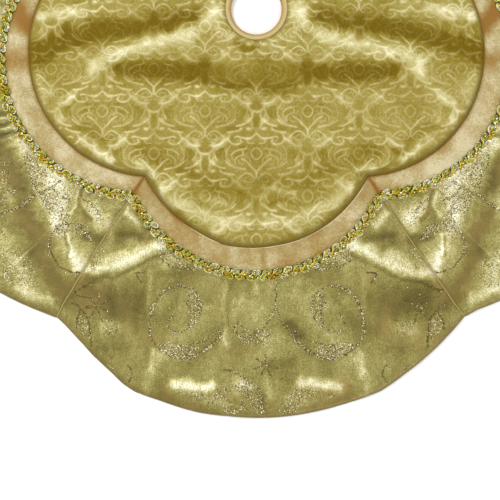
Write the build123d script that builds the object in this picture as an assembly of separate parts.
from build123d import *

# Scalloped tree skirt laid open on the floor. Millimetres, +Z up.
# Origin on the floor at the centre of the trunk opening, front towards -Y, left towards -X.
#
# Five scalloped sectors leave the rear opening as a wedge, here called the slit. From the
# trunk outwards: neck binding, padded velvet, satin band, braid over the band's outer seam,
# flounce. A lining closes the underside. Both slit edges are bound, and three hook-and-loop
# tabs close the slit. The two rear sectors fold up and over along the seams that join them to
# their neighbours, so the pieces that run right round are cut there into three lengths.
#
# Directions are degrees from the front, positive towards the left. Heights are (bottom, top).
import os
from math import sin, cos, radians, sqrt

# ---- plan ---------------------------------------------------------------
SECTOR = 67.5             # angle of one scallop
HALF = SECTOR / 2
SEAM = 1.5 * SECTOR       # direction of each fold seam
SLIT = 2.5 * SECTOR       # direction of each slit edge
SCALLOPS = {2: "rear_left", 1: "side_left", 0: "front", -1: "side_right", -2: "rear_right"}
SIDES = {1: "left", -1: "right"}

TRUNK_R = 38.0
NECK_W = 10.0
NECK_R = TRUNK_R + NECK_W
SLIT_W = 14.0             # width of the slit bindings
BRAID_W = 15.0

# radii of the scalloped edges: at the middle of a scallop, at the cusps between scallops
VELVET_EDGE = (353.0, 300.0)
BRAID_CENTRE = (397.5, 334.0)
HEM_EDGE = (609.6, 550.0)
STEP_AT = VELVET_EDGE[1] + 42   # distance out at which the slit bindings step down

# ---- clearances ---------------------------------------------------------
GAP = 0.25                # between neighbouring pieces in plan
FOLD_GAP = 0.3            # at each side of a fold seam
SEAM_DEG = 0.03           # at each side of a sewn radial seam, degrees
WADDING_GAP = 1.0         # between the wadding and the turned-down velvet
WADDING_NECK_GAP = 2.0    # between the wadding and the neck binding
HEM_INSET = 2.0           # of the lining inside the hem
POCKET_GAP = 0.2          # around a loop tape in its pocket
POCKET_HEADROOM = 0.1     # above a loop tape in its pocket
TAPE_GAP = 0.05           # between a tab and its hook tape
ROOT_GAP = 0.1            # at the slit edge, and between a root and its tab

# ---- heights ------------------------------------------------------------
LINING_Z = (0.0, 1.0)
WADDING_Z = (1.1, 8.0)
VELVET_Z = (1.1, 10.1)
VELVET_T = 2.0
BAND_Z = (1.1, 3.4)
FLOUNCE_Z = (1.1, 2.8)
BRAID_Z = (3.5, 7.0)
BINDING_Z = (0.0, 10.5)
LOW_BINDING_TOP = 5.0     # outer part of the slit bindings

# ---- closure ------------------------------------------------------------
TABS = {"inner": 140.0, "middle": 250.0, "outer": 450.0}   # distance of each tab from the origin
TAB_W = 44.0              # along the slit
TAB_L = 34.0              # reach past the slit edge
TAB_CORNER = 6.0
ROOT_L = 5.0              # sewn root, past the slit edge
TAB_Z = (1.2, 2.4)
TAPE_L, TAPE_W, TAPE_T = 38.0, 11.0, 1.0   # hook and loop tapes
HOOK_INSET = 7.0          # hook tape from the free end of its tab
LOOP_INSET = 1.5          # loop tape from the slit edge

# ---- extents of the cutting bodies --------------------------------------
FAR = 1000.0              # beyond the hem
INSIDE = 20.0             # within the trunk opening
THROUGH_Z = (-1, 40)      # below and above every piece
OVERCUT = 5.0             # by which a cutter runs past what it cuts


# ---- plan geometry ------------------------------------------------------
def at(radius, angle):
    """Point at a distance from the origin in a direction."""
    return (-radius * sin(radians(angle)), -radius * cos(radians(angle)))


def scallop_arc(mid, cusp):
    """Circle through a scallop's middle and cusps: (distance of its centre, its radius)."""
    distance = (mid * mid - cusp * cusp) / (2 * (mid - cusp * cos(radians(HALF))))
    return distance, mid - distance


def edge(arc, grow=0.0):
    """(mid, cusp) radii of a scalloped edge parallel to an arc, offset outwards by grow."""
    distance, radius = arc[0], arc[1] + grow
    half = radians(HALF)
    cusp = distance * cos(half) + sqrt(radius * radius - (distance * sin(half)) ** 2)
    return distance + radius, cusp


VELVET = scallop_arc(*VELVET_EDGE)
BRAID = scallop_arc(*BRAID_CENTRE)
HEM = scallop_arc(*HEM_EDGE)


def skirt_face(inner_radius, outer):
    """The whole skirt in plan, from a circle out to a scalloped edge."""
    mid, cusp = outer
    edges = [Line(at(inner_radius, SLIT), at(cusp, SLIT))]
    for k in SCALLOPS:
        centre = k * SECTOR
        edges.append(
            ThreePointArc(at(cusp, centre + HALF), at(mid, centre), at(cusp, centre - HALF))
        )
    edges.append(Line(at(cusp, -SLIT), at(inner_radius, -SLIT)))
    edges.append(
        ThreePointArc(at(inner_radius, -SLIT), at(inner_radius, 0), at(inner_radius, SLIT))
    )
    return make_face(Wire(edges))


def sector_face(inner, outer, k):
    """One sector in plan, between two scalloped edges."""
    centre = k * SECTOR
    (mid_in, cusp_in), (mid_out, cusp_out) = inner, outer
    low, high = centre - HALF + SEAM_DEG, centre + HALF - SEAM_DEG
    outline = [
        Line(at(cusp_in, high), at(cusp_out, high)),
        ThreePointArc(at(cusp_out, high), at(mid_out, centre), at(cusp_out, low)),
        Line(at(cusp_out, low), at(cusp_in, low)),
        ThreePointArc(at(cusp_in, low), at(mid_in, centre), at(cusp_in, high)),
    ]
    return make_face(Wire(outline))


# ---- bodies -------------------------------------------------------------
def raised(face, heights):
    bottom, top = heights
    return extrude(Pos(0, 0, bottom) * face, amount=top - bottom, dir=(0, 0, 1))


def wedge(start, end, steps=5):
    """Everything between two directions."""
    rim = [at(FAR, start + (end - start) * i / steps) for i in range(steps + 1)]
    return raised(make_face(Polyline((0, 0), *rim, close=True)), THROUGH_Z)


def radial_block(angle, across, out, heights):
    """Block along a direction; across is measured towards growing angles."""
    centre = Pos(-sum(across) / 2, -sum(out) / 2)
    face = centre * Rectangle(across[1] - across[0], out[1] - out[0])
    return Rot(0, 0, -angle) * raised(face, heights)


def slit_block(side, inward, out, heights):
    """Block along one slit edge; inward is measured from the edge into the skirt."""
    across = (-inward[1], -inward[0]) if side > 0 else inward
    return radial_block(side * SLIT, across, out, heights)


def centred(middle, length, margin=0.0):
    return (middle - length / 2 - margin, middle + length / 2 + margin)


FRONT = wedge(-SEAM, SEAM)
REAR = {1: wedge(SEAM, SLIT + 8), -1: wedge(-SLIT - 8, -SEAM)}
FOLD_CUT = {
    side: radial_block(side * SEAM, (-FOLD_GAP, FOLD_GAP), (INSIDE, FAR), THROUGH_Z)
    for side in SIDES
}
# the room kept free for each slit binding
SLIT_CUT = {side: slit_block(side, (-200, SLIT_W + GAP), (-30, FAR), THROUGH_Z) for side in SIDES}


def save(name, shape):
    (piece,) = shape.solids()    # each piece is a single solid
    piece.label = name
    export_step(piece, f"parts/{name}.step")


def save_lengths(name, body):
    """Cut a piece that runs right round into its front, rear left and rear right lengths."""
    save(f"{name}_front", (body & FRONT) - FOLD_CUT[1] - FOLD_CUT[-1])
    for side, side_name in SIDES.items():
        length = (body & REAR[side]) - FOLD_CUT[side] - SLIT_CUT[side]
        save(f"{name}_rear_{side_name}", length)


# ---- pieces that run right round ----------------------------------------
def velvet_panel():
    """Sheet over the padding, turned down at its outer edge."""
    hollow_z = (VELVET_Z[0] - 1, VELVET_Z[1] - VELVET_T)
    hollow = raised(skirt_face(NECK_R - OVERCUT, edge(VELVET, -VELVET_T)), hollow_z)
    return raised(skirt_face(NECK_R + GAP, edge(VELVET)), VELVET_Z) - hollow


def wadding():
    outer = edge(VELVET, -VELVET_T - WADDING_GAP)
    return raised(skirt_face(NECK_R + WADDING_NECK_GAP, outer), WADDING_Z)


def lining():
    return raised(skirt_face(NECK_R + GAP, edge(HEM, -HEM_INSET)), LINING_Z)


def neck_binding():
    return raised(Circle(NECK_R) - Circle(TRUNK_R), BINDING_Z) & wedge(-SLIT, SLIT)


# ---- pieces made once per scallop ---------------------------------------
# name: inner edge, outer edge, heights
SECTOR_PIECES = {
    "satin_band": (edge(VELVET, GAP), edge(BRAID, -GAP / 2), BAND_Z),
    "flounce": (edge(BRAID, GAP / 2), edge(HEM), FLOUNCE_Z),
    "braid": (edge(BRAID, -BRAID_W / 2), edge(BRAID, BRAID_W / 2), BRAID_Z),
}


def sector_piece(inner, outer, heights, k):
    body = raised(sector_face(inner, outer, k), heights)
    if abs(k) == 2:              # a rear sector stops short of its slit binding
        body = body - SLIT_CUT[k // 2]
    return body


# ---- slit bindings and closure ------------------------------------------
def slit_binding(side):
    """Strip along a slit edge, lower in its outer part."""
    strip = slit_block(side, (0, SLIT_W), (INSIDE, FAR), BINDING_Z)
    strip = strip & raised(skirt_face(INSIDE, edge(HEM)), THROUGH_Z)
    strip = strip - raised(Circle(TRUNK_R), THROUGH_Z)
    step_z = (LOW_BINDING_TOP, BINDING_Z[1] + OVERCUT)
    strip = strip - slit_block(side, (-OVERCUT, SLIT_W + OVERCUT), (STEP_AT, FAR), step_z)
    if side < 0:
        # the loop tapes are let in flush with the underside of the right binding
        inward = (LOOP_INSET - POCKET_GAP, LOOP_INSET + TAPE_W + POCKET_GAP)
        for distance in TABS.values():
            out = centred(distance, TAPE_L, POCKET_GAP)
            strip = strip - slit_block(side, inward, out, (-1, TAPE_T + POCKET_HEADROOM))
    return strip


def tab_root(distance):
    return slit_block(1, (-ROOT_L, -ROOT_GAP), centred(distance, TAB_W), TAB_Z)


def closure_tab(distance):
    """Tab reaching across the slit from the left edge, its free corners rounded."""
    tab = slit_block(1, (-TAB_L, -ROOT_L - ROOT_GAP), centred(distance, TAB_W), TAB_Z)
    across_slit = Axis((0, 0, 0), (*at(1, SLIT + 90), 0))
    corners = tab.edges().filter_by(Axis.Z).sort_by(across_slit)
    return fillet(corners[-2:], TAB_CORNER)


def hook_tape(distance):
    """Tape on top of the tab."""
    start = -TAB_L + HOOK_INSET
    bottom = TAB_Z[1] + TAPE_GAP
    out = centred(distance, TAPE_L)
    return slit_block(1, (start, start + TAPE_W), out, (bottom, bottom + TAPE_T))


def loop_tape(distance):
    """Tape under the right binding."""
    inward = (LOOP_INSET, LOOP_INSET + TAPE_W)
    return slit_block(-1, inward, centred(distance, TAPE_L), (0, TAPE_T))


# ---- build and export ---------------------------------------------------
os.makedirs("parts", exist_ok=True)

for make in (velvet_panel, wadding, lining, neck_binding):
    save_lengths(make.__name__, make())

for k, where in SCALLOPS.items():
    for name, (inner, outer, heights) in SECTOR_PIECES.items():
        save(f"{name}_{where}", sector_piece(inner, outer, heights, k))

for side, side_name in SIDES.items():
    save(f"slit_binding_{side_name}", slit_binding(side))

for where, distance in TABS.items():
    for make in (tab_root, closure_tab, hook_tape, loop_tape):
        save(f"{make.__name__}_{where}", make(distance))
